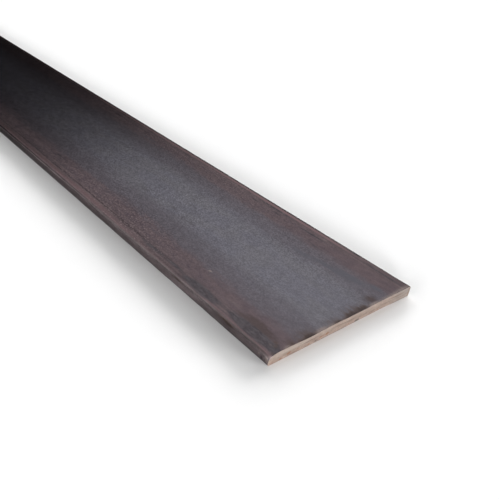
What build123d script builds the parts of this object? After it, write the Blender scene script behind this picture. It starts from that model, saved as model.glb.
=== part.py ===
from build123d import *
import os

# A hot-rolled steel flat bar: one piece of stock, lying flat on a level floor.
# +X runs along the bar, +Y across it and +Z up. The origin is the middle of the bottom face.
# All sizes are in millimetres.

# Stock size
bar_length = 1000.0
bar_width = 100.0
bar_thickness = 6.0

# Rolled section
edge_crown = 0.45  # how far each long edge stands proud at mid-thickness
corner_radius = 1.0

# Sheared ends, each measured from the face that the blade struck
rollover_depth = 0.6  # how far the skin is drawn down at the cut
rollover_length = 1.6  # how far back along the bar the skin starts to fall
burnished_land = 2.2  # square band that the blade rubbed smooth
fracture_setback = 0.4  # how far the broken band below it falls back by the far face

# The corner of each end where the blade bit first, pulled down further than the rest of the cut
drawn_corner_width = 6.0  # how far it runs in from the long edge, at the cut
drawn_corner_depth = 2.9  # how far it runs down the long edge, at the cut
drawn_corner_reach = 8.0  # how far back along the bar it has faded out
faded_round = 0.8 * corner_radius  # its size by then, clear of the rolled corner's own round

half_length = bar_length / 2
half_width = bar_width / 2
corner_y = half_width - edge_crown  # where a long edge would meet the top or bottom face
cut_margin = 1.0  # how far a cutter stands clear of the faces that it passes through

with BuildPart() as flat_bar:
    # The rolled section, drawn across the bar and run along its whole length
    with BuildSketch(Plane.YZ) as rolled_section:
        with BuildLine():
            Line((-corner_y, 0), (corner_y, 0))
            ThreePointArc((corner_y, 0), (half_width, bar_thickness / 2), (corner_y, bar_thickness))
            Line((corner_y, bar_thickness), (-corner_y, bar_thickness))
            ThreePointArc((-corner_y, bar_thickness), (-half_width, bar_thickness / 2), (-corner_y, 0))
        make_face()
        fillet(rolled_section.vertices(), corner_radius)
    extrude(amount=half_length, both=True)

    # The corner that each cut started from, taken off outside an elliptical round that fades along
    # the long edge. The front one (side -1) is on the top face at the -Y edge, and the rear one
    # (side 1) is opposite it through the middle of the bar.
    for side in (-1, 1):
        struck_z = bar_thickness * (1 - side) / 2
        outer_y = side * (half_width + cut_margin)
        outer_z = struck_z - side * cut_margin
        for setback, round_width, round_depth in (
            (0, drawn_corner_width, drawn_corner_depth),
            (drawn_corner_reach, faded_round, faded_round),
        ):
            round_y = side * (half_width - round_width)
            round_z = struck_z + side * round_depth
            with BuildSketch(Plane.YZ.offset(side * (setback - half_length))):
                with BuildLine():
                    drawn_round = EllipticalCenterArc(
                        (round_y, round_z),
                        round_width,
                        round_depth,
                        start_angle=180 + side * 90,
                        arc_size=90,
                    )
                    Polyline(
                        drawn_round @ 1,
                        (outer_y, round_z),
                        (outer_y, outer_z),
                        (round_y, outer_z),
                        drawn_round @ 0,
                    )
                make_face()
        loft(ruled=True, mode=Mode.SUBTRACT)

    # The bar seen from the side, as the shear leaves it. The front end was struck on the top
    # face. The rear end is the other half of such a cut, so it is the same turned upside down.
    with BuildSketch(Plane.XZ):
        with BuildLine():
            front_rollover = EllipticalCenterArc(
                (half_length - rollover_length, bar_thickness - rollover_depth),
                rollover_length,
                rollover_depth,
                start_angle=0,
                arc_size=90,
            )
            front_cut = Polyline(
                front_rollover @ 0,
                (half_length, bar_thickness - rollover_depth - burnished_land),
                (half_length - fracture_setback, 0),
            )
            rear_rollover = EllipticalCenterArc(
                (rollover_length - half_length, rollover_depth),
                rollover_length,
                rollover_depth,
                start_angle=180,
                arc_size=90,
            )
            rear_cut = Polyline(
                rear_rollover @ 0,
                (-half_length, rollover_depth + burnished_land),
                (fracture_setback - half_length, bar_thickness),
            )
            Line(front_cut @ 1, rear_rollover @ 1)
            Line(rear_cut @ 1, front_rollover @ 1)
        make_face()
    extrude(amount=half_width, both=True, mode=Mode.INTERSECT)

flat_bar.part.label = "flat_bar"

os.makedirs("parts", exist_ok=True)
export_step(flat_bar.part, "parts/flat_bar.step")
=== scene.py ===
import math

import bpy
import numpy as np
from mathutils import Matrix, Vector


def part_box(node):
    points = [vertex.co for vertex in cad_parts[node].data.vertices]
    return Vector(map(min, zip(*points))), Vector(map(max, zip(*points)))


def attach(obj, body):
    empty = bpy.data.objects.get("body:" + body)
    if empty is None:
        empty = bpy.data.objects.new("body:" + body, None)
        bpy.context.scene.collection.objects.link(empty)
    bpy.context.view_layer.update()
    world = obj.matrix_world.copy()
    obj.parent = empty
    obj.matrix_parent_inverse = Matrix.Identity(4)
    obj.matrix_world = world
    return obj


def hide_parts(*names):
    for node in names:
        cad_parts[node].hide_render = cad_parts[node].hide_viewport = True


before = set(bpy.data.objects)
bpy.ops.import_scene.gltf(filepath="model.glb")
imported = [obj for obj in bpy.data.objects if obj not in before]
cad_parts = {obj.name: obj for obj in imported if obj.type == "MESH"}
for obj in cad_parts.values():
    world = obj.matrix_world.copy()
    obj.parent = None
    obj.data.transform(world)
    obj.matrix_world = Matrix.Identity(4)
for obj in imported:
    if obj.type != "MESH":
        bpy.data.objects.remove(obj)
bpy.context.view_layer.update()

# A hot-rolled steel flat bar lying on a pale floor. Its surface is worked out in millimetres, with
# x along the bar, y across it and z up from its underside, and is scaled to metres at the end.
MM = 0.001

low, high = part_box("flat_bar")
LENGTH = (high.x - low.x) / MM
WIDTH = (high.y - low.y) / MM
THICKNESS = (high.z - low.z) / MM
HALF_LENGTH = LENGTH / 2
HALF_WIDTH = WIDTH / 2

# Rolled section: the crown and the corner rounds of the long edges at -Y and +Y. The +Y edge
# shows a little squarer.
LEFT_EDGE = (0.45, 1.0)
RIGHT_EDGE = (0.30, 0.6)

# Sheared ends: how deep the skin is drawn over, the burnished land under it and the torn rest
ROLLOVER_DEPTH = 0.6
ROLLOVER_LENGTH = 1.8
BURNISHED_LAND = 2.2
FRACTURE_SETBACK = 0.4

# How far back from the cut the torn part's lean is felt, and where across the bar it fades out
LEAN_REACH = 3.0
LEAN_FADE = (25, 44)

# The corner that the blade met first, and how it fades out along the long edge
DRAWN_WIDTH = 4.6
DRAWN_DEPTH = 2.9
DRAWN_REACH = 8.0
DRAWN_FADE = 1.6

# The opposite corner of the far face, which parted last and stays square
SQUARE_RADIUS = 0.3
SQUARE_REACH = 12.0
SQUARE_FADE = 1.5

# Relief of a cut: waves to the millimetre, across and downwards, and depth. The torn part sets in
# between two depths under the struck face.
SCORING_WAVES, SCORING_DEPTH = (2.2, 0.25), 0.03
TORN_WAVES, TORN_DEPTH = (0.9, 1.6), 0.14
TORN_START = (2.6, 3.6)

# Wear of the skin: depths of the flats' waviness, of the streaks pressed in beside the edges, of
# the knocks and small dents along the arrises, and of the rolled lines on the long edges. The
# streaks set in between two distances from the middle of the width.
WAVE_DEPTH = 0.035
STREAK_DEPTH = 0.05
STREAK_START = (34, 42)
KNOCK_DEPTH = 0.10
DENT_DEPTH = 0.05
RIDGE_DEPTH = 0.06

# How finely the surface is divided: back from an end, out from the middle and round an edge
CUT_PLACES = (0.0, 0.12, 0.3, 0.55, 0.85, 1.2, 1.6, 2.1, 2.7, 3.4, 4.2, 5.1, 6.1, 7.2, 8.4)
NEAR_START, NEAR_STEP = 10.0, 1.7
REST_START, REST_STEP = 160.0, 4.0
MIDDLE_STEP = 1.5
OUTER_START, OUTER_STEP = 30.0, 1.0
FINE_START, FINE_PLACES = 40.0, 19
SIDE_STEPS = 18


# ---------------------------------------------------------------- helpers for the surface

def smooth_step(value, start, end):
    share = np.clip((value - start) / (end - start), 0.0, 1.0)
    return share * share * (3 - 2 * share)


def lattice_noise(u, v, seed):
    """Smooth seeded noise from -1 to 1 whose waves are about two units long."""
    size = 512
    grid = np.random.default_rng(seed).uniform(-1.0, 1.0, (size, size))
    u0 = np.floor(u).astype(int)
    v0 = np.floor(v).astype(int)
    du = smooth_step(u - u0, 0, 1)
    dv = smooth_step(v - v0, 0, 1)
    row, next_row = u0 % size, (u0 + 1) % size
    column, next_column = v0 % size, (v0 + 1) % size
    near = grid[row, column] * (1 - du) + grid[next_row, column] * du
    far = grid[row, next_column] * (1 - du) + grid[next_row, next_column] * du
    return near * (1 - dv) + far * dv


def relief(u, v, seed):
    """The same noise from 0 to 1."""
    return 0.5 + 0.5 * lattice_noise(u, v, seed)


# ---------------------------------------------------------------- where the surface is divided

def places_along():
    """Distances back from an end, close together at the cut and wider along the bar."""
    near = np.arange(NEAR_START, REST_START, NEAR_STEP)
    rest = np.arange(REST_START, HALF_LENGTH, REST_STEP)
    return np.concatenate([CUT_PLACES, near, rest])


def places_across():
    """Shares from -1 to 1 across a flat face, closer near the long edges."""
    middle = np.arange(0.0, OUTER_START, MIDDLE_STEP)
    outer = np.arange(OUTER_START, FINE_START, OUTER_STEP)
    edge = np.linspace(FINE_START, HALF_WIDTH, FINE_PLACES)
    half = np.concatenate([middle, outer, edge]) / HALF_WIDTH
    return np.concatenate([-half[:0:-1], half])


# ---------------------------------------------------------------- the section

def long_edge(crown, top_corner, bottom_corner, square=0.0):
    """Half outline of one long edge, from the top flat down to the bottom flat, as y and z.
    A corner is the width and depth of its rounding. Square, from 0 to 1, fills out the half of
    the edge that has the smaller corner."""
    turn = np.linspace(0, math.pi, SIDE_STEPS + 1)
    middle = THICKNESS / 2
    z = middle + middle * np.cos(turn)
    filled = (z < middle) == (bottom_corner[0] < top_corner[0])
    y = HALF_WIDTH - crown * (z / middle - 1) ** 2 * (1 - square * filled)
    for (width, depth), rise in ((top_corner, z - (THICKNESS - top_corner[1])),
                                 (bottom_corner, bottom_corner[1] - z)):
        over = np.clip(rise / depth, 0, 1)
        y = y - width * (1 - np.sqrt(1 - over**2))
    return y, z


def section(back, struck_from_above):
    """The ring of points round the bar at a distance back from an end: the bottom from -Y to +Y,
    the +Y edge upwards, the top back to -Y and the -Y edge downwards."""
    fade = float(np.clip(1 - back / DRAWN_REACH, 0, 1)) ** DRAWN_FADE
    filled = float(np.clip(1 - back / SQUARE_REACH, 0, 1)) ** SQUARE_FADE

    def corners(radius):
        drawn = (radius + (DRAWN_WIDTH - radius) * fade, radius + (DRAWN_DEPTH - radius) * fade)
        tight = (radius + (SQUARE_RADIUS - radius) * filled,) * 2
        return drawn, (radius, radius), tight

    left_crown, left_radius = LEFT_EDGE
    right_crown, right_radius = RIGHT_EDGE
    left_drawn, left_plain, left_tight = corners(left_radius)
    right_drawn, right_plain, right_tight = corners(right_radius)
    if struck_from_above:
        left = long_edge(left_crown, left_drawn, left_plain)
        right = long_edge(right_crown, right_plain, right_tight, filled)
    else:
        left = long_edge(left_crown, left_tight, left_plain, filled)
        right = long_edge(right_crown, right_plain, right_drawn)
    share = (places_across() + 1) / 2
    top = right[0][0] * share - left[0][0] * (1 - share)
    bottom = right[0][-1] * share - left[0][-1] * (1 - share)
    y = np.concatenate([bottom, right[0][-2:0:-1], top[::-1], -left[0][1:-1]])
    z = np.concatenate([
        np.zeros_like(bottom),
        right[1][-2:0:-1],
        np.full_like(top, THICKNESS),
        left[1][1:-1],
    ])
    return y, z


# ---------------------------------------------------------------- the sheared ends

def drawn_skin(y):
    """How far the blade drew the skin down at the cut, from one long edge to the other."""
    across = [-50, -46, -38, -33, -29, -24, -20, -15, -12, -4, -1, 4, 14, 18, 30, 50]
    depth = [0.35, 0.3, 0.32, 0.5, 0.75, 0.8, 0.65, 0.45, 0.3, 0.3, 0.45, 0.4, 0.4, 0.2, 0.15, 0.2]
    return np.interp(y, across, depth)


def setback(y, depth_from_blade):
    """How far the torn part of a cut leans back, at a depth under the face the blade struck.
    It fades towards the edge that parted last."""
    land = ROLLOVER_DEPTH + BURNISHED_LAND
    share = np.clip((depth_from_blade - land) / (THICKNESS - land), 0, 1)
    return FRACTURE_SETBACK * share * (1 - smooth_step(y, *LEAN_FADE))


def tear(y, depth_from_blade, seed):
    """Relief of a sheared face, inwards: fine upright scoring, and a torn lower part."""
    scoring = relief(y * SCORING_WAVES[0], depth_from_blade * SCORING_WAVES[1], seed)
    torn = relief(y * TORN_WAVES[0], depth_from_blade * TORN_WAVES[1], seed + 1)
    torn = torn * smooth_step(depth_from_blade, *TORN_START)
    inside = smooth_step(HALF_WIDTH - np.abs(y), 0.3, 2.5)
    inside = inside * smooth_step(THICKNESS - depth_from_blade, 0.1, 0.9)
    return (SCORING_DEPTH * scoring + TORN_DEPTH * torn) * inside


# ---------------------------------------------------------------- the skin

def skin_rings():
    """Points of the rolled skin as an array of rings from the front end to the rear end."""
    back = places_along()
    rings = []
    for front in (True, False):
        side = 1 if front else -1
        ends = []
        for distance in back:
            y, z = section(distance, front)
            height = z if front else THICKNESS - z
            curl = 1 - math.sqrt(1 - max(0.0, 1 - distance / ROLLOVER_LENGTH) ** 2)
            drop = drawn_skin(y * side) * curl * (height / THICKNESS) ** 2
            z = z - drop * side
            lean = setback(y * side, THICKNESS - height) * max(0.0, 1 - distance / LEAN_REACH)
            x = side * (HALF_LENGTH - distance - lean)
            ends.append(np.stack([x, y, z], axis=1))
        rings += ends if front else ends[::-1]
    return np.array(rings)


def wear_skin(rings):
    """Faint waviness of the flats, pressed-in streaks beside the edges and knocks along the arrises."""
    x, y, z = rings[..., 0], rings[..., 1], rings[..., 2]
    out = np.where(z > THICKNESS / 2, 1.0, -1.0)
    side = np.sign(y)
    away_from_cut = smooth_step(HALF_LENGTH - np.abs(x), 0.0, 6.0)

    flat = smooth_step(np.abs(z - THICKNESS / 2), THICKNESS / 2 - 0.9, THICKNESS / 2 - 0.1)
    beside_edge = smooth_step(np.abs(y), *STREAK_START)
    wave = WAVE_DEPTH * relief(x / 16, y / 9 + out * 40, seed=11)
    streak = STREAK_DEPTH * beside_edge * relief(x / 45, y * 1.1 + out * 90, seed=12)
    z = z - out * flat * away_from_cut * (wave + streak)

    arris = smooth_step(np.abs(y), HALF_WIDTH - 1.9, HALF_WIDTH - 0.9)
    corner = arris * smooth_step(np.abs(z - THICKNESS / 2), 1.4, 2.6)
    knock = KNOCK_DEPTH * relief(x / 5, out * 7 + side * 3, seed=13) ** 2
    dent = DENT_DEPTH * relief(x / 1.7, out * 17 + side * 5, seed=14) ** 3
    cut = corner * away_from_cut * (knock + dent)
    ridge = smooth_step(np.abs(y), HALF_WIDTH - 0.9, HALF_WIDTH - 0.5) * away_from_cut
    rolled = RIDGE_DEPTH * ridge * relief(x / 60, z * 1.8 + side * 30, seed=15)
    y = y - side * (cut + rolled)
    z = z - out * cut * 0.6
    return np.stack([x, y, z], axis=-1)


def end_cap(ring, front, columns, rows, seed):
    """A grid of points over one sheared end, its rim taken from the skin's last ring."""
    bottom = np.arange(columns)
    right = np.arange(columns - 1, columns - 1 + rows)
    top = np.arange(2 * columns + rows - 3, columns + rows - 3, -1)
    left = np.concatenate([[0], np.arange(len(ring) - 1, 2 * columns + rows - 4, -1)])
    rim = {"bottom": bottom, "top": top, "left": left, "right": right}
    u = np.linspace(0, 1, columns)[None, :, None]
    rise = ring[left, 2] - ring[0, 2]
    v = (rise / rise[-1])[:, None, None]
    grid = (1 - v) * ring[bottom][None] + v * ring[top][None]
    grid = grid + (1 - u) * ring[left][:, None] + u * ring[right][:, None]
    grid = grid - (1 - u) * ((1 - v) * ring[bottom[0]] + v * ring[top[0]])
    grid = grid - u * ((1 - v) * ring[bottom[-1]] + v * ring[top[-1]])
    inner = grid[1:-1, 1:-1]
    side = 1 if front else -1
    depth = THICKNESS - inner[..., 2] if front else inner[..., 2]
    lean = setback(inner[..., 1] * side, depth) + tear(inner[..., 1], depth, seed)
    inner[..., 0] = side * (HALF_LENGTH - lean)
    return inner, rim


# ---------------------------------------------------------------- marks left on the skin

# Each mark: distance back from the end, place across, half length, half width, strength. Past the
# arris the place across goes on down the long edge.
SCALE_MARKS = [
    (51, -46.4, 11.5, 2.6, 3.5), (13, -45.4, 17, 2.6, 4.0), (93, -45.4, 12, 1.5, 1.2),
    (74, -44.9, 8, 1.3, 1.0), (110, -13, 9, 3.5, 0.45), (103, -12.5, 4, 1.0, 0.7),
    (106, -21.5, 6, 0.8, 0.6), (90, -14, 4, 1.4, 0.5), (97, 44.4, 22, 0.8, 1.2),
    (45, 45.0, 25, 0.6, 0.8), (12, 45.3, 13, 0.8, 1.2), (62, 41.6, 11, 0.7, 1.9),
    (91, 41.2, 5, 0.9, 1.3), (111, 41.2, 4, 0.9, 1.1), (53, 33.6, 6, 0.7, 0.8),
    (152, -12, 9, 4, 0.5), (124, -11, 6, 3, 0.5), (14, 38, 8, 3, 0.35), (30, 33, 9, 2, 0.3),
    (4.0, -53.6, 0.7, 1.6, 1.2), (3.0, -43.6, 1.6, 1.3, 2.2), (36, 48.3, 5, 0.9, 1.8),
    (26, 46.4, 7, 0.7, 0.9),
]
RUST_MARKS = [
    (18, -39.8, 9, 2.4, 1.5), (24, -41.9, 6, 1.7, 1.3), (14, -42.0, 4, 1.5, 0.9),
    (9, -40.6, 7, 2.2, 0.8), (41, -37.5, 11, 2.6, 0.25), (3.4, 20.8, 4.2, 4.8, 1.0),
    (150, 38, 45, 6, 0.3), (75, 38, 20, 4, 0.25),
]
BLUE_MARKS = [
    (36, 24.0, 12, 1.6, 1.5), (50, 21.3, 12, 1.6, 1.1), (22, 26.6, 10, 2.6, 1.7),
    (8, 31.0, 4.5, 2.2, 1.2), (18, 22.0, 10, 1.0, 0.5), (115, -6, 11, 4, 0.35),
    (45, -20, 14, 7, 0.25), (92, -20, 22, 8, 0.35), (150, 18, 20, 4, 0.3),
]
# Stains, and one painted shade on the near corner
STAIN_AND_SHADE_MARKS = [
    (0.0, -22, 0.9, 20, 0.6), (0.0, 4, 0.9, 14, 0.6), (0.3, -26.5, 1.2, 4.6, 1.3),
    (0.5, -36, 1.2, 3.4, 0.6), (0.3, -6, 1.0, 2.6, 0.6), (0.7, 2.2, 1.7, 3.8, 1.25),
    (0.7, 11.2, 1.8, 4.8, 1.35), (2.6, -27, 4.2, 8, 0.58), (2.6, 6, 5.0, 13, 0.58),
    (2.2, -37, 2.6, 3.6, 0.4), (3.6, 22.5, 2.6, 4.0, 0.3), (3.2, -43.4, 1.4, 1.2, 1.0),
    (5.0, -42.0, 1.4, 1.2, 0.9), (0.8, -47.5, 1.2, 1.2, 0.6), (27, -51.2, 7.5, 1.4, 1.7),
    # The mark 5 mm back at -50.6 across is painted shade over a reflection on the drawn corner's crease
    (64, -51.0, 10, 0.7, 1.2), (5, -50.6, 4.5, 0.9, 0.8), (1.8, -11, 3.0, 7, 0.5),
    (8, 41, 9, 4, 0.15),
]
# Worn metal, and painted highlights: the light marks right at the cut along the rollover and those on
# the drawn near corner's nose
WORN_AND_HIGHLIGHT_MARKS = [
    (0.1, -39.5, 1.2, 2.6, 0.9), (0.1, -17.5, 1.7, 4.8, 1.4), (0.1, -11, 1.2, 2.4, 0.8),
    (0.1, 19.5, 1.5, 5.0, 1.2), (0.0, 32, 1.8, 10, 0.9), (0.0, 45, 2.6, 9, 1.1),
    (61, -33, 1.1, 0.8, 1.5), (5.2, -44.8, 1.3, 1.0, 0.5), (1.0, -53.1, 0.9, 1.6, 1.8),
    (5.8, -52.5, 1.0, 0.8, 1.5), (2.2, -52.0, 1.1, 0.9, 1.0), (0.3, -49.6, 1.3, 1.6, 0.7),
    (34, -39.6, 8, 1.6, 0.35), (55, 44.0, 1.2, 0.7, 1.3),
]

# Marks on a cut: place across, height, half width, half height, strength
CUT_RUST = [
    (-37.7, 1.8, 1.1, 0.8, 2.2), (-42.3, 0.8, 1.2, 0.6, 1.3), (-32, 1.7, 1.2, 0.6, 0.9),
    (-25.3, 1.0, 1.3, 0.6, 1.1), (-17.3, 1.8, 1.5, 0.9, 1.1), (-13.7, 2.0, 1.1, 0.9, 2.0),
    (2, 1.0, 1.2, 0.6, 0.9), (-47.5, 1.4, 2.0, 1.4, 0.5), (24, 0.8, 1.4, 0.6, 0.8),
]
CUT_GREY = [(-20.7, 0.9, 1.9, 0.7, 1.0), (8, 0.7, 2.0, 0.7, 1.6), (-8, 0.4, 1.6, 0.4, 0.6)]
CUT_DULL = [(45, 3, 12, 9, 1.2)]
CUT_SEAMS = [
    (-25.5, 3.2, 6, 0.3, 1.6), (1.5, 3.5, 8, 0.28, 1.8), (5, 2.6, 9, 0.28, 1.3),
    (38.5, 3.9, 7, 0.35, 1.6), (43, 2.0, 5, 0.3, 1.1), (30, 2.4, 9, 0.3, 1.0),
    (-34, 0.8, 6, 0.4, 0.9), (20, 1.6, 7, 0.3, 1.1), (-8, 3.9, 7, 0.25, 0.8),
    (49.4, 2.6, 0.9, 4.0, 1.3), (0, -0.1, 70, 0.4, 0.7),
]
CUT_LIGHT = [(-36, 4.3, 13, 1.5, 1.0), (-14, 4.6, 9, 1.0, 0.6), (14, 4.9, 16, 0.8, 0.5)]


# How steeply a mark fades out from its middle
MARK_FALLOFF = 1.4

# Marks drawn by chance: the least distance back, the shape and scale of the spread of their
# distances in from a long edge, the ranges of their half length, half width and strength, and
# where they set in on the struck face, past the listed marks
CHANCE_LEAST = 4
CHANCE_SPREAD = (1.6, 7.0)
CHANCE_LENGTH = (4, 26)
CHANCE_WIDTH = (0.5, 2.6)
CHANCE_STRENGTH = (0.32, 0.8)
CHANCE_START = (150, 190)
TOP_SEED, UNDER_SEED = 31, 41

# The finish's layers on the skin: name, listed marks, how many more chance adds, and the
# marks that the same layer has on a cut
LAYERS = (
    ("dark_scale", SCALE_MARKS, 34, CUT_GREY),
    ("rust", RUST_MARKS, 16, CUT_RUST),
    ("blue_temper", BLUE_MARKS, 16, CUT_DULL),
    ("stain_and_shade", STAIN_AND_SHADE_MARKS, 0, CUT_SEAMS),
    ("light_metal_and_highlight", WORN_AND_HIGHLIGHT_MARKS, 0, CUT_LIGHT),
)


def stamp(back, across, marks):
    """Adds up soft oval marks at each point of the skin."""
    total = np.zeros_like(back)
    for mark_back, mark_across, length, width, strength in marks:
        reach = ((back - mark_back) / length) ** 2 + ((across - mark_across) / width) ** 2
        total += strength * np.exp(-MARK_FALLOFF * reach)
    return total


def chance_marks(seed, count):
    """Seeded marks for the faces that have none listed, most of them near a long edge."""
    draw = np.random.default_rng(seed)
    marks = []
    for _ in range(count):
        back = draw.uniform(CHANCE_LEAST, HALF_LENGTH)
        across = np.sign(draw.uniform(-1, 1)) * (HALF_WIDTH - draw.gamma(*CHANCE_SPREAD))
        length = draw.uniform(*CHANCE_LENGTH)
        width = draw.uniform(*CHANCE_WIDTH)
        marks.append((back, across, length, width, draw.uniform(*CHANCE_STRENGTH)))
    return marks


def skin_marks(points, on_cut):
    """Shares of dark scale, rust, blue temper, stain with a painted shade, and worn metal with painted
    highlights at each point, before the shader breaks them up. On a cut they are shares of grey, rust,
    dull, seamed and light metal.
    The rear end has the front end's marks turned over."""
    x, y, z = points.T
    back = HALF_LENGTH - np.abs(x)
    front = x > 0
    own_y = np.where(front, y, -y)
    own_z = np.where(front, z, THICKNESS - z)
    past_arris = smooth_step(np.abs(y), HALF_WIDTH - 1.2, HALF_WIDTH - 0.6)
    girth = own_y + np.sign(own_y) * past_arris * (THICKNESS - own_z)
    struck = smooth_step(own_z, 0.5, 1.5)
    beyond = smooth_step(back, *CHANCE_START)
    layers = {}
    for number, (name, chosen, count, on_end) in enumerate(LAYERS):
        spread = stamp(back, own_y, chance_marks(TOP_SEED + number, count))
        under = stamp(back, own_y, chance_marks(UNDER_SEED + number, count))
        skin = struck * (stamp(back, girth, chosen) + spread * beyond) + (1 - struck) * under
        layers[name] = np.where(on_cut, stamp(own_y, own_z, on_end), skin)
    return layers


# ---------------------------------------------------------------- the whole bar as one mesh

# The square image that the finish can be baked to: its side, the margin round each strip and the
# strips' heights, in its pixels. It holds the front half of the skin, the rear half and two cuts.
SHEET = 1024
SHEET_MARGIN = 6
SHEET_SPAN = SHEET - 2 * SHEET_MARGIN
TOP_STRIP, BOTTOM_STRIP, EDGE_STRIP = 226, 130, 27
CAP_STRIP = 64

# Edges that turn by more than this stay crisp, in degrees
CRISP_ANGLE = 50
CUT_SEED = 50


def ring_heights(ring, columns, rows):
    """Place of each ring point up its strip in the image, with the closing point last."""
    closed = np.concatenate([ring, ring[:1]])
    steps = np.linalg.norm(np.diff(closed, axis=0), axis=1)
    spans = [
        (0, columns - 1, BOTTOM_STRIP),
        (columns - 1, columns + rows - 2, EDGE_STRIP),
        (columns + rows - 2, 2 * columns + rows - 3, TOP_STRIP),
        (2 * columns + rows - 3, len(ring), EDGE_STRIP),
    ]
    for start, end, height in spans:
        steps[start:end] *= height / steps[start:end].sum()
    return np.concatenate([[0.0], np.cumsum(steps)])


def corners_of(grid, axis):
    """The corners of each cell of a grid, in turn."""
    return np.stack([grid[:-1, :-1], grid[:-1, 1:], grid[1:, 1:], grid[1:, :-1]], axis=axis)


def skin_sheet(count, around, columns, rows):
    """Places in the image of the corners of the skin's faces, and where the cuts' strips start."""
    heights = ring_heights(np.stack(section(HALF_LENGTH, True), axis=1), columns, rows)
    backs = places_along() / HALF_LENGTH
    along = np.concatenate([backs, backs[::-1]])
    strip = heights[-1] + 2 * SHEET_MARGIN
    last_of_front = count // 2 - 1
    sheet = np.empty((count - 1, around, 4, 2))
    for ring in range(count - 1):
        ends = [along[ring], 1.0 if ring == last_of_front else along[ring + 1]]
        base = SHEET_MARGIN + (strip if ring > last_of_front else 0)
        for corner, (end, shift) in enumerate(((0, 0), (1, 0), (1, 1), (0, 1))):
            sheet[ring, :, corner, 0] = SHEET_MARGIN + SHEET_SPAN * ends[end]
            sheet[ring, :, corner, 1] = base + heights[shift:shift + around]
    return sheet.reshape(-1, 2), 2 * strip


def cap_sheet(number, start, columns, rows):
    """Places in the image of the corners of a cut's faces."""
    row, column = np.meshgrid(np.arange(rows), np.arange(columns), indexing="ij")
    base = start + SHEET_MARGIN + number * (CAP_STRIP + 2 * SHEET_MARGIN)
    place = np.stack([
        SHEET_MARGIN + SHEET_SPAN * column / (columns - 1),
        base + CAP_STRIP * row / (rows - 1),
    ], axis=-1)
    return corners_of(place, -2).reshape(-1, 4, 2)


def bar_surface():
    """Points, faces and image places of the whole bar, then how many rings its skin has and how
    many points each ring has."""
    columns = len(places_across())
    rows = SIDE_STEPS + 1
    rings = wear_skin(skin_rings())
    count, around = rings.shape[:2]
    index = np.arange(count * around).reshape(count, around)
    following = np.roll(index, -1, axis=1)
    skin = np.stack([index[:-1], index[1:], following[1:], following[:-1]], axis=-1)
    skin_places, caps_start = skin_sheet(count, around, columns, rows)

    points = [rings.reshape(-1, 3)]
    faces = [skin.reshape(-1, 4)]
    sheets = [skin_places]
    total = count * around
    for number, (ring, front) in enumerate(((0, True), (count - 1, False))):
        inner, rim = end_cap(rings[ring], front, columns, rows, CUT_SEED + number)
        grid = np.empty((rows, columns), int)
        grid[0], grid[-1] = index[ring][rim["bottom"]], index[ring][rim["top"]]
        grid[:, 0], grid[:, -1] = index[ring][rim["left"]], index[ring][rim["right"]]
        grid[1:-1, 1:-1] = total + np.arange(inner[..., 0].size).reshape(inner.shape[:2])
        total += inner[..., 0].size
        quads = corners_of(grid, -1).reshape(-1, 4)
        places = cap_sheet(number, caps_start, columns, rows)
        points.append(inner.reshape(-1, 3))
        faces.append(quads if front else quads[:, ::-1])
        sheets.append((places if front else places[:, ::-1]).reshape(-1, 2))
    return np.concatenate(points), np.concatenate(faces), np.concatenate(sheets), count, around


def crisp_rims(mesh, count, around):
    """Keeps the rim of each cut crisp, however far the skin is drawn down towards it."""
    for edge in mesh.edges:
        start_ring, end_ring = (vertex // around for vertex in edge.vertices)
        if start_ring == end_ring and start_ring in (0, count - 1):
            edge.use_edge_sharp = True


def build_bar():
    points, faces, sheet, count, around = bar_surface()
    middle = np.array([(low.x + high.x) / 2, (low.y + high.y) / 2, low.z])
    mesh = bpy.data.meshes.new("rolled_bar")
    mesh.from_pydata((points * MM + middle).tolist(), [], faces.tolist())
    material_slots = np.zeros(len(faces), np.int32)
    material_slots[(count - 1) * around:] = 1
    mesh.polygons.foreach_set("material_index", material_slots)
    mesh.polygons.foreach_set("use_smooth", np.ones(len(faces), bool))
    mesh.set_sharp_from_angle(angle=math.radians(CRISP_ANGLE))
    crisp_rims(mesh, count, around)
    layer = mesh.uv_layers.new(name="OFBake")
    layer.data.foreach_set("uv", (sheet / SHEET).astype(np.float32).ravel())
    on_cut = np.arange(len(points)) >= count * around
    for name, values in skin_marks(points, on_cut).items():
        attribute = mesh.attributes.new(name, "FLOAT", "POINT")
        attribute.data.foreach_set("value", values.astype(np.float32))
    mesh.update()
    bar = bpy.data.objects.new("rolled_bar", mesh)
    bpy.context.scene.collection.objects.link(bar)
    return bar


# ---------------------------------------------------------------- materials

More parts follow.
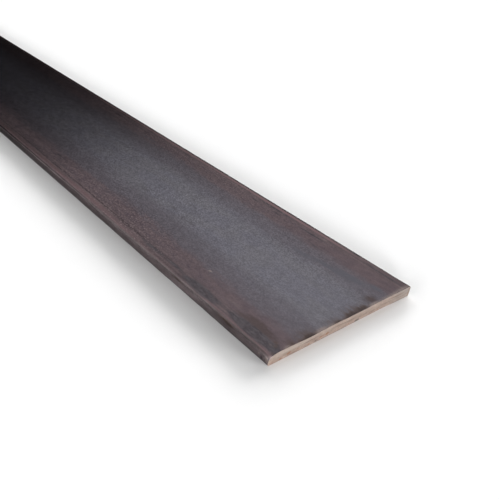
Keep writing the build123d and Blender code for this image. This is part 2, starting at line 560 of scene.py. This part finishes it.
class Finish:
    """A material built from short calls, each giving back an output socket. Places are in mm."""

    def __init__(self, name):
        self.material = bpy.data.materials.new(name)
        self.material.use_nodes = True
        self.tree = self.material.node_tree
        self.shader = self.tree.nodes["Principled BSDF"]
        coordinates = self.tree.nodes.new("ShaderNodeTexCoord")
        scaled = self.tree.nodes.new("ShaderNodeVectorMath")
        scaled.operation = "SCALE"
        scaled.inputs["Scale"].default_value = 1 / MM
        self.tree.links.new(coordinates.outputs["Object"], scaled.inputs[0])
        self.place = scaled.outputs["Vector"]
        split = self.tree.nodes.new("ShaderNodeSeparateXYZ")
        self.tree.links.new(self.place, split.inputs[0])
        self.x, self.y, self.z = split.outputs

    def feed(self, socket, value):
        if isinstance(value, bpy.types.NodeSocket):
            self.tree.links.new(value, socket)
        elif isinstance(value, tuple) and len(value) == 3 and socket.type == "RGBA":
            socket.default_value = (*value, 1)
        else:
            socket.default_value = value

    def math(self, operation, *values):
        node = self.tree.nodes.new("ShaderNodeMath")
        node.operation = operation
        for socket, value in zip(node.inputs, values):
            self.feed(socket, value)
        return node.outputs[0]

    def span(self, value, start, end, low_value=0.0, high_value=1.0):
        """Goes smoothly from low_value to high_value while value goes from start to end."""
        node = self.tree.nodes.new("ShaderNodeMapRange")
        node.interpolation_type = "SMOOTHSTEP"
        rising = start < end
        self.feed(node.inputs["Value"], value)
        node.inputs["From Min"].default_value = start if rising else end
        node.inputs["From Max"].default_value = end if rising else start
        node.inputs["To Min"].default_value = low_value if rising else high_value
        node.inputs["To Max"].default_value = high_value if rising else low_value
        return node.outputs["Result"]

    def band(self, value, middle, half):
        """Goes from 1 where value is middle down to 0 at half to either side."""
        return self.span(self.math("ABSOLUTE", self.math("SUBTRACT", value, middle)), half, 0)

    def noise(self, wave, detail, roughness, shift):
        """Noise from 0 to 1 whose waves are about as long as wave says, in mm along each axis."""
        mapping = self.tree.nodes.new("ShaderNodeMapping")
        mapping.inputs["Scale"].default_value = tuple(1 / size for size in wave)
        mapping.inputs["Location"].default_value = (shift, shift * 1.7, shift * 0.6)
        self.tree.links.new(self.place, mapping.inputs["Vector"])
        node = self.tree.nodes.new("ShaderNodeTexNoise")
        self.tree.links.new(mapping.outputs[0], node.inputs["Vector"])
        node.inputs["Scale"].default_value = 1.0
        node.inputs["Detail"].default_value = detail
        node.inputs["Roughness"].default_value = roughness
        return node.outputs[0]

    def blend(self, share, first, second):
        """Goes from the first colour to the second while share goes from 0 to 1."""
        node = self.tree.nodes.new("ShaderNodeMix")
        node.data_type = "RGBA"
        self.feed(node.inputs[0], share)
        self.feed(node.inputs[6], first)
        self.feed(node.inputs[7], second)
        return node.outputs[2]

    def shade(self, colour, factor):
        """Multiplies a colour by a number."""
        node = self.tree.nodes.new("ShaderNodeVectorMath")
        node.operation = "SCALE"
        self.feed(node.inputs[0], colour)
        self.feed(node.inputs["Scale"], factor)
        return node.outputs[0]

    def attribute(self, name):
        node = self.tree.nodes.new("ShaderNodeAttribute")
        node.attribute_name = name
        return node.outputs["Fac"]

    def bump(self, height, depth):
        """A bump as deep as depth, in mm."""
        node = self.tree.nodes.new("ShaderNodeBump")
        node.inputs["Distance"].default_value = depth * MM
        self.feed(node.inputs["Height"], height)
        return node.outputs[0]

    def product(self, first, *others):
        """Multiplies numbers."""
        for other in others:
            first = self.math("MULTIPLY", first, other)
        return first

    def total(self, first, *others):
        """Adds up numbers."""
        for other in others:
            first = self.math("ADD", first, other)
        return first


# Colours of the skin; where there are two, noise chooses between them
BLUE_GREYS = ((0.161, 0.155, 0.175), (0.157, 0.152, 0.178))
MAUVE = (0.131, 0.118, 0.135)
CALM_BROWN = (0.129, 0.100, 0.111)
MOTTLED_BROWNS = ((0.107, 0.084, 0.097), (0.152, 0.118, 0.127))
STREAKED_BROWNS = ((0.104, 0.083, 0.089), (0.165, 0.125, 0.129))
WARM_BROWN = (0.142, 0.106, 0.110)
PINK = (0.188, 0.126, 0.132)
NEAR_LINE = (0.058, 0.044, 0.048)
FAR_LINE = (0.042, 0.030, 0.033)
TEMPER_BLUE = (0.115, 0.112, 0.131)
RUST_BROWN = (0.086, 0.066, 0.066)
DARK_SCALES = ((0.063, 0.056, 0.063), (0.099, 0.090, 0.099))
LIGHT_SPECK = (0.235, 0.182, 0.188)
# Stain browns, also used for a painted shade
STAIN_AND_SHADE_BROWNS = ((0.104, 0.077, 0.071), (0.064, 0.048, 0.044))
# Worn steel, also the colour of painted highlights
WORN_STEEL_AND_HIGHLIGHT = (0.250, 0.206, 0.195)
# The upright edges' greys: their own colour, set lighter as painted light, since they mirror the shaded
# floor
FLANK_GREYS = ((0.154, 0.129, 0.132), (0.206, 0.169, 0.174))

# Places across the bar of the lines rolled in beside its long edges, each with its half width
NEAR_PINK = (-47.2, 2.4)
NEAR_RIM_PINK = (-48.9, 1.3)
FAR_PINK = (46.7, 1.6)
NEAR_GROOVE = (-48.0, 1.0)
NEAR_DARK = (-44.5, 0.9)
FAR_DARK = (48.9, 1.4)


class MillScale(Finish):
    """Blue-grey rolling scale, mauve and then brown and mottled towards the long edges. Back is the
    distance from the nearer end, and across the distance from the middle of the width, in mm."""

    def __init__(self):
        super().__init__("mill_scale")
        self.across = self.math("ABSOLUTE", self.y)
        self.back = self.math("SUBTRACT", HALF_LENGTH, self.math("ABSOLUTE", self.x))
        self.far_back = self.span(self.back, 20, 90)

        self.grain = self.noise((0.9, 0.7, 0.7), 2, 0.6, 3.0)
        self.mottle = self.noise((4.5, 3.0, 3.0), 4, 0.7, 5.0)
        self.ragged = self.noise((10, 3.2, 3.2), 4, 0.65, 7.0)
        self.blotch = self.noise((24, 12, 12), 3, 0.5, 11.0)
        self.cloud = self.noise((8, 4, 4), 3, 0.55, 13.0)
        self.clump = self.noise((4.0, 1.6, 1.6), 4, 0.75, 17.0)
        self.streak = self.noise((30, 1.1, 1.1), 3, 0.6, 19.0)
        self.flame = self.noise((6.0, 1.5, 1.5), 3, 0.6, 23.0)
        self.speck = self.noise((1.3, 0.9, 0.9), 2, 0.5, 29.0)
        self.slow = self.noise((70, 14, 14), 3, 0.6, 31.0)

        # Where the blue-grey middle gives way to mauve and then to brown
        wobble = self.math("MULTIPLY_ADD", self.slow, 12.0, -6.0)
        wobble = self.math("MULTIPLY_ADD", self.ragged, 12.0, self.total(wobble, -6.0))
        ragged_place = self.total(self.across, wobble)
        self.mauve_zone = self.span(ragged_place, 10, 28)
        self.brown_zone = self.span(ragged_place, 27, 37)
        self.flank = self.span(self.across, HALF_WIDTH - 1.0, HALF_WIDTH - 0.6)

    def along(self, start, end, low_value=0.0, high_value=1.0):
        """Goes from low_value to high_value while the distance back goes from start to end."""
        return self.span(self.back, start, end, low_value, high_value)

    def zoned_colour(self):
        """The colour by zone, before anything lies on it."""
        middle = self.blend(self.span(self.blotch, 0.38, 0.62), *BLUE_GREYS)
        mottled = self.blend(self.span(self.clump, 0.36, 0.64), *MOTTLED_BROWNS)
        brown = self.blend(self.span(self.far_back, 0, 1, 0.35, 1.0), CALM_BROWN, mottled)
        brown = self.blend(self.span(self.cloud, 0.35, 0.65, 0, 0.4), brown, WARM_BROWN)
        streaked = self.blend(self.span(self.streak, 0.36, 0.64), *STREAKED_BROWNS)
        brown = self.blend(self.span(self.across, 40, 45, 0, 0.7), brown, streaked)
        # Painted shade: the mauve darkens farther back from the cut
        mauve = self.shade(MAUVE, self.along(110, 180, 1.0, 0.92))
        colour = self.blend(self.mauve_zone, middle, mauve)
        return self.blend(self.brown_zone, colour, brown)

    def grained(self, colour):
        """Adds soft mottling and a fine grain, which is strongest some way back from the cut."""
        calm = self.product(self.brown_zone, self.math("SUBTRACT", 1.0, self.far_back))
        share = self.total(self.along(12, 45, 0.135, 0.20), self.along(45, 140, 0, 0.14))
        share = self.math("MULTIPLY_ADD", calm, -0.07, share)
        far_side = self.product(self.span(self.y, 5, 16), self.along(95, 65, 0, 0.32))
        share = self.product(
            share,
            self.along(180, 290, 1.0, 0.6),
            self.total(far_side, 1.0),
            self.span(self.brown_zone, 0, 1, 1.0, 0.7),
        )
        grain = self.span(self.grain, 0.3, 0.7, -1, 1)
        colour = self.shade(colour, self.math("MULTIPLY_ADD", grain, share, 1.0))
        colour = self.shade(colour, self.span(self.mottle, 0.32, 0.68, 0.935, 1.065))
        return self.shade(colour, self.span(self.cloud, 0.3, 0.7, 0.96, 1.04))

    def painted_shading(self, colour):
        """Painted shade and light along the bar: darkens and then lightens the near side, going back
        from the cut, lightens near its edge, and darkens the far side and its rim farther back.
        """
        near_painted_shade = self.total(
            self.along(30, 90, 0.97, 0.90),
            self.along(125, 185, 0, 0.18),
            self.along(225, 290, 0, 0.08),
        )
        colour = self.blend(self.span(self.y, -8, -26), colour, self.shade(colour, near_painted_shade))
        near_painted_light = self.product(self.span(self.y, -33, -41), self.along(130, 165, 0, 0.05))
        edge_painted_light = self.product(self.span(self.y, -42, -45), self.along(90, 140, 0, 0.09))
        far_painted_shade = self.total(
            self.along(220, 285, 0, -0.23),
            self.along(300, 440, 0, -0.30),
            self.along(140, 190, 0, -0.05),
        )
        far_painted_shade = self.product(far_painted_shade, self.span(self.y, 25, 37))
        rim_painted_shade = self.product(self.span(self.y, 43, 45.5), self.along(225, 265, 0, -0.20))
        # Painted light: everything a little lighter farther back
        level = self.along(230, 290, 1.0, 1.07)
        return self.shade(colour, self.total(near_painted_light, edge_painted_light, far_painted_shade, rim_painted_shade, level))

    def lined(self, colour):
        """Draws the rolled-in lines that follow the long edges."""
        near_pink = self.product(self.band(self.y, *NEAR_PINK), self.along(85, 140))
        rim_pink = self.product(self.band(self.y, *NEAR_RIM_PINK), self.along(40, 75, 0.70, 0.25))
        far_pink = self.product(self.band(self.y, *FAR_PINK), self.along(30, 64, 0.25, 1.5))
        pink = self.total(near_pink, rim_pink, far_pink)
        pink = self.product(pink, self.span(self.streak, 0.32, 0.6, 0.55, 1.15))
        pink_colour = self.shade(PINK, self.span(self.y, 40, 46, 1.0, 1.18))
        colour = self.blend(self.span(pink, 0, 1.2), colour, pink_colour)

        groove = self.product(self.band(self.y, *NEAR_GROOVE), self.along(50, 65))
        groove = self.product(groove, self.along(120, 95, 0, -0.22))
        colour = self.shade(colour, self.total(groove, 1.0))

        wander = self.total(self.y, self.math("MULTIPLY_ADD", self.slow, 1.6, -0.8))
        dots = self.span(self.clump, 0.40, 0.56, 0.3, 1.0)
        dots = self.product(dots, self.span(self.streak, 0.36, 0.54))
        near_line = self.product(self.band(wander, *NEAR_DARK), dots, self.along(55, 85))
        return self.blend(self.span(near_line, 0, 0.8, 0, 0.88), colour, NEAR_LINE)

    def layer(self, name, noise, start, end, low_share, high_share):
        """A layer's marks, broken up by a noise."""
        return self.product(self.attribute(name), self.span(noise, start, end, low_share, high_share))

    def marked(self, colour):
        """Lays the marks on, and gives back how marked the skin is as well."""
        blue = self.layer("blue_temper", self.streak, 0.3, 0.6, 0.6, 1.1)
        colour = self.blend(self.span(blue, 0, 1, 0, 0.85), colour, TEMPER_BLUE)
        rust = self.layer("rust", self.ragged, 0.34, 0.62, 0.5, 1.2)
        colour = self.blend(self.span(rust, 0.05, 1, 0, 0.85), colour, RUST_BROWN)
        dark = self.layer("dark_scale", self.flame, 0.34, 0.6, 0.6, 1.1)
        dark_colour = self.blend(self.span(self.clump, 0.38, 0.62), *DARK_SCALES)
        colour = self.blend(self.span(dark, 0.1, 1, 0, 0.9), colour, dark_colour)

        speckled = self.total(self.product(self.brown_zone, self.along(60, 120), 0.9), 0.12)
        specks = self.product(self.span(self.speck, 0.565, 0.69), speckled)
        colour = self.blend(specks, colour, LIGHT_SPECK)

        # Stains, and a painted shade on the near corner
        stain_and_shade = self.layer("stain_and_shade", self.flame, 0.32, 0.62, 0.55, 1.1)
        stain_and_shade_colour = self.blend(self.span(stain_and_shade, 0.5, 1.6), *STAIN_AND_SHADE_BROWNS)
        colour = self.blend(self.span(stain_and_shade, 0, 1, 0, 0.92), colour, stain_and_shade_colour)
        # Worn metal and painted highlights, made brighter on the long edges as painted light since they
        # mirror the shaded floor
        light_metal_and_highlight = self.layer("light_metal_and_highlight", self.flame, 0.3, 0.6, 0.55, 1.0)
        worn_and_highlight_colour = self.shade(WORN_STEEL_AND_HIGHLIGHT, self.span(self.flank, 0, 1, 1.0, 1.6))
        colour = self.blend(self.span(light_metal_and_highlight, 0.05, 1, 0, 0.85), colour, worn_and_highlight_colour)
        return colour, self.total(dark, light_metal_and_highlight, stain_and_shade)

    def flanked_with_painted_light(self, colour, marks):
        """Colours the rolled long edges, their own greys with painted light and shade on them: lighter
        where they stand upright than on their shoulders and darker farther back, and darkens the arris
        of the far one."""
        from_middle = self.math("ABSOLUTE", self.math("SUBTRACT", self.z, THICKNESS / 2))
        grey = self.blend(self.span(self.streak, 0.35, 0.65), *FLANK_GREYS)
        shoulder = self.product(
            self.span(from_middle, 1.0, 2.2),
            self.span(from_middle, 2.25, 2.6, 1.0, 0.4),
        )
        # Painted shade: the rounded shoulders darkened where they mirror the bright sky, less so farther
        # back
        shoulder_painted_shade = self.total(
            self.along(22, 46, 0.40, 0.46),
            self.along(60, 120, 0, 0.18),
            self.along(150, 220, 0, 0.14),
        )
        grey = self.blend(shoulder, grey, self.shade(grey, shoulder_painted_shade))
        # Painted light and shade: a lighter patch near the cut, lighter downwards near it and darker
        # farther back
        light_patch = self.product(self.band(self.back, 55, 27), 0.36)
        grey = self.shade(grey, self.total(light_patch, self.along(30, 60, 0.98, 1.07)))
        downwards = self.product(self.span(self.z, 5.0, 1.5, 0, 0.24), self.along(90, 125, 1.0, 0.35))
        grey = self.shade(grey, self.total(downwards, 1.0))
        grey = self.shade(grey, self.along(90, 190, 1.0, 0.85))
        grey = self.shade(grey, self.along(190, 275, 1.0, 0.5))
        grey = self.shade(grey, self.span(self.clump, 0.3, 0.7, 0.85, 1.15))
        colour = self.blend(self.product(self.flank, self.span(marks, 0.1, 0.9, 1.0, 0.1)), colour, grey)

        dashed = self.span(self.clump, 0.36, 0.56, 0.45, 1.0)
        far_line = self.product(self.band(self.y, *FAR_DARK), dashed, self.along(20, 90, 0.35, 1.0))
        return self.blend(self.span(far_line, 0, 1, 0, 0.95), colour, FAR_LINE)


def mill_scale():
    f = MillScale()
    colour, marks = f.marked(f.lined(f.painted_shading(f.grained(f.zoned_colour()))))
    f.feed(f.shader.inputs["Base Color"], f.flanked_with_painted_light(colour, marks))
    roughness = f.span(f.mottle, 0.2, 0.8, 0.18, 0.23)
    f.feed(f.shader.inputs["Roughness"], f.math("MULTIPLY_ADD", f.brown_zone, 0.03, roughness))
    f.shader.inputs["Metallic"].default_value = 1.0
    f.shader.inputs["Specular Tint"].default_value = (0.5, 0.5, 0.5, 1)
    f.feed(f.shader.inputs["Normal"], f.bump(f.mottle, 0.006))
    return f.material


# Colours of a cut; where there are two, noise chooses between them
CUT_TANS = ((0.470, 0.355, 0.295), (0.620, 0.502, 0.438))
DULL_TANS = ((0.37, 0.30, 0.26), (0.48, 0.41, 0.37))
BRIGHT_TAN = (0.640, 0.550, 0.490)
SEAM_BROWN = (0.290, 0.200, 0.155)
CUT_RUST_RED = (0.420, 0.215, 0.125)
CUT_DARK_GREY = (0.13, 0.12, 0.105)


def sheared_steel():
    """The bare cut: tan-grey steel with upright scoring, brown seams and specks of rust, lighter
    where it was torn."""
    f = Finish("sheared_steel")
    scoring = f.noise((0.8, 0.5, 4.0), 3, 0.6, 5.0)
    cloud = f.noise((3, 4, 1.5), 4, 0.65, 9.0)
    seam = f.noise((3, 9, 0.4), 3, 0.65, 13.0)
    speck = f.noise((1.2, 1.2, 0.9), 2, 0.5, 17.0)

    colour = f.blend(f.span(cloud, 0.35, 0.65), *CUT_TANS)
    colour = f.blend(f.span(f.attribute("light_metal_and_highlight"), 0, 1, 0, 0.8), colour, BRIGHT_TAN)
    colour = f.shade(colour, f.span(scoring, 0.25, 0.75, 0.92, 1.08))
    dull = f.blend(f.span(cloud, 0.3, 0.7), *DULL_TANS)
    colour = f.blend(f.span(f.attribute("blue_temper"), 0, 1), colour, dull)
    seams = f.math("MULTIPLY_ADD", f.span(seam, 0.52, 0.66), 0.5, f.attribute("stain_and_shade"))
    seams = f.product(seams, f.span(scoring, 0.3, 0.6, 0.7, 1.0))
    colour = f.blend(f.span(seams, 0.1, 1.0, 0, 0.8), colour, SEAM_BROWN)
    rust = f.math("MULTIPLY_ADD", f.span(speck, 0.66, 0.76), 0.3, f.attribute("rust"))
    colour = f.blend(f.span(rust, 0.1, 1.0, 0, 0.85), colour, CUT_RUST_RED)
    colour = f.blend(f.span(f.attribute("dark_scale"), 0.2, 1.0, 0, 0.85), colour, CUT_DARK_GREY)
    towards_blade = f.product(f.math("SIGN", f.x), f.math("SUBTRACT", f.z, THICKNESS / 2))
    colour = f.shade(colour, f.span(towards_blade, 0.0, -2.6, 1.0, 1.2))

    f.feed(f.shader.inputs["Base Color"], colour)
    f.shader.inputs["Metallic"].default_value = 0.5
    f.feed(f.shader.inputs["Roughness"], f.span(cloud, 0.3, 0.7, 0.5, 0.62))
    f.feed(f.shader.inputs["Normal"], f.bump(scoring, 0.02))
    return f.material


bar = build_bar()
bar.data.materials.append(mill_scale())
bar.data.materials.append(sheared_steel())
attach(bar, "root")
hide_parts("flat_bar")


# ---------------------------------------------------------------- floor and curtains

FLOOR_ALBEDO = 0.85
FLOOR_REACH = 30.0
FLOOR_GAP = 0.00005

# The round rail far behind the bar that both curtains hang from. Headings are degrees from +X
# towards +Y, and rises are degrees over the horizon, seen from the middle of the round. The rail's
# rise is RAIL_RISE at RAIL_HEADING, and grows by RAIL_SLOPE for each degree on, up to RAIL_TOP.
RAIL_MIDDLE_X = 0.3
RAIL_RADIUS = 6.0
RAIL_START, RAIL_END, RAIL_STEPS = 125.0, 206.0, 36
RAIL_HEADING, RAIL_RISE, RAIL_SLOPE, RAIL_TOP = 150.5, 23.0, 0.30, 36.0
LOWEST_HEM = 0.2
CLOTH_BLACK = (0.01, 0.01, 0.01)


def plain_finish(name, colour, glow):
    """A dull plain finish that gives off light of its own as strong as glow."""
    material = bpy.data.materials.new(name)
    material.use_nodes = True
    shader = material.node_tree.nodes["Principled BSDF"]
    shader.inputs["Base Color"].default_value = (*colour, 1)
    shader.inputs["Roughness"].default_value = 1.0
    shader.inputs["Specular IOR Level"].default_value = 0.0
    shader.inputs["Emission Color"].default_value = (1, 1, 1, 1)
    shader.inputs["Emission Strength"].default_value = glow
    return material


def stage_object(name, points, faces, material):
    mesh = bpy.data.meshes.new(name)
    mesh.from_pydata(points, [], faces)
    thing = bpy.data.objects.new(name, mesh)
    bpy.context.scene.collection.objects.link(thing)
    thing.data.materials.append(material)
    return thing


def curtain(name, drop, hang, glow):
    """A cloth seen only where the bar mirrors it. Its top edge is drop degrees under the rail, and
    its hem hang degrees under that, or near the floor."""
    points = []
    for step in range(RAIL_STEPS + 1):
        heading = RAIL_START + (RAIL_END - RAIL_START) * step / RAIL_STEPS
        rise = min(RAIL_RISE + (heading - RAIL_HEADING) * RAIL_SLOPE, RAIL_TOP) - drop
        for elevation in (max(rise - hang, LOWEST_HEM), rise):
            points.append((
                RAIL_MIDDLE_X + RAIL_RADIUS * math.cos(math.radians(heading)),
                RAIL_RADIUS * math.sin(math.radians(heading)),
                RAIL_RADIUS * math.tan(math.radians(elevation)),
            ))
    faces = [(2 * i, 2 * i + 1, 2 * i + 3, 2 * i + 2) for i in range(RAIL_STEPS)]
    cloth = stage_object(name, points, faces, plain_finish(name, CLOTH_BLACK, glow))
    cloth.visible_camera = False
    cloth.visible_diffuse = False
    cloth.visible_shadow = False


floor_corners = [
    (x * FLOOR_REACH, y * FLOOR_REACH, low.z - FLOOR_GAP)
    for x, y in ((-1, -1), (1, -1), (1, 1), (-1, 1))
]
floor_finish = plain_finish("pale_floor", (FLOOR_ALBEDO,) * 3, 0.0)
floor = stage_object("floor", floor_corners, [(0, 1, 2, 3)], floor_finish)
curtain("black_curtain", drop=3.0, hang=90.0, glow=0.0)
curtain("grey_curtain", drop=0.0, hang=3.0, glow=0.5)


# ---------------------------------------------------------------- light

# Each floor lamp's heading, elevation and width in degrees, and the share of the open floor's
# brightness that it gives
FLOOR_LAMPS = {
    "right_light": (20, 5, 14, 0.09),
    "right_back_light": (40, 5, 14, 0.055),
    "back_light": (100, 19, 20, 0.26),
    "low_back_light": (120, 11, 18, 0.13),
    "back_left_light": (150, 21, 40, 0.19),
    "left_light": (230, 13, 36, 0.08),
    "front_left_light": (270, 7, 28, 0.125),
    "front_light": (320, 5, 14, 0.095),
}
BAR_LAMP = (-40, 35, 60)
BAR_LAMP_STRENGTH = 1.6

# The world's strength where it is seen or mirrored, and where it only lights
WORLD_SEEN = 1.0
WORLD_LIGHT = 0.02
LAMP_POINTS = 4000


def only(name, thing):
    """A light group of one object."""
    group = bpy.data.collections.new(name)
    group.objects.link(thing)
    return group


def heading_vector(heading, elevation):
    turn, rise = math.radians(heading), math.radians(elevation)
    return Vector((math.cos(rise) * math.cos(turn), math.cos(rise) * math.sin(turn), math.sin(rise)))


def soft_sun(name, heading, elevation, width, strength, receivers):
    """A lamp far off, as wide across as width in degrees, that lights only its receivers."""
    data = bpy.data.lights.new(name, "SUN")
    data.energy = strength
    data.angle = math.radians(width)
    lamp = bpy.data.objects.new(name, data)
    lamp.rotation_euler = heading_vector(heading, elevation).to_track_quat("Z", "Y").to_euler()
    lamp.light_linking.receiver_collection = receivers
    bpy.context.scene.collection.objects.link(lamp)


def mean_height(elevation, width):
    """Mean sine of elevation over a round lamp, counting what is under the floor as nothing."""
    number = np.arange(LAMP_POINTS)
    radius = np.sqrt((number + 0.5) / LAMP_POINTS) * math.sin(math.radians(width / 2))
    turn = number * math.pi * (3 - math.sqrt(5))
    rise = math.radians(elevation)
    sine = math.sin(rise) * np.sqrt(1 - radius**2) + math.cos(rise) * radius * np.sin(turn)
    return float(np.maximum(sine, 0).mean())


def seen_share(tree, hidden, shown):
    """A strength for light that is seen, mirrored or seen through, and another for the rest."""
    path = tree.nodes.new("ShaderNodeLightPath")
    total = path.outputs["Is Camera Ray"]
    for name in ("Is Glossy Ray", "Is Transmission Ray"):
        add = tree.nodes.new("ShaderNodeMath")
        add.operation = "ADD"
        add.use_clamp = True
        tree.links.new(total, add.inputs[0])
        tree.links.new(path.outputs[name], add.inputs[1])
        total = add.outputs[0]
    level = tree.nodes.new("ShaderNodeMapRange")
    level.inputs["To Min"].default_value = hidden
    level.inputs["To Max"].default_value = shown
    tree.links.new(total, level.inputs["Value"])
    return level.outputs["Result"]


def white_world():
    world = bpy.data.worlds.new("studio")
    world.use_nodes = True
    background = world.node_tree.nodes["Background"]
    background.inputs["Color"].default_value = (1, 1, 1, 1)
    strength = seen_share(world.node_tree, WORLD_LIGHT, WORLD_SEEN)
    world.node_tree.links.new(strength, background.inputs["Strength"])
    return world


floor_group = only("floor_group", floor)
for lamp_name, (heading, elevation, width, share) in FLOOR_LAMPS.items():
    strength = math.pi * share / (FLOOR_ALBEDO * mean_height(elevation, width))
    soft_sun(lamp_name, heading, elevation, width, strength, floor_group)
soft_sun("bar_light", *BAR_LAMP, BAR_LAMP_STRENGTH, only("bar_group", bar))
bpy.context.scene.world = white_world()


# ---------------------------------------------------------------- camera

# Solved from the bar's outline in the photo: metres from the middle of the front end's lower edge,
# the heading that it looks along, how far it looks down, and its roll, in degrees, and its lens
CAMERA_PLACE = (0.11156, -0.18689, 0.15570)
CAMERA_HEADING = 133.971
CAMERA_DIP = 30.236
CAMERA_ROLL = 9.52
CAMERA_LENS = 40.868
SENSOR_WIDTH = 36.0

camera_data = bpy.data.cameras.new("camera")
camera_data.sensor_width = SENSOR_WIDTH
camera_data.lens = CAMERA_LENS
camera_data.clip_start = 0.01
camera_data.clip_end = 100
camera = bpy.data.objects.new("camera", camera_data)
camera.matrix_world = (
    Matrix.Translation(Vector((high.x, 0, low.z)) + Vector(CAMERA_PLACE))
    @ Matrix.Rotation(math.radians(CAMERA_HEADING - 90), 4, "Z")
    @ Matrix.Rotation(math.radians(90 - CAMERA_DIP), 4, "X")
    @ Matrix.Rotation(math.radians(CAMERA_ROLL), 4, "Z")
)
bpy.context.scene.collection.objects.link(camera)
bpy.context.scene.camera = camera

bpy.context.scene.view_settings.view_transform = "Standard"
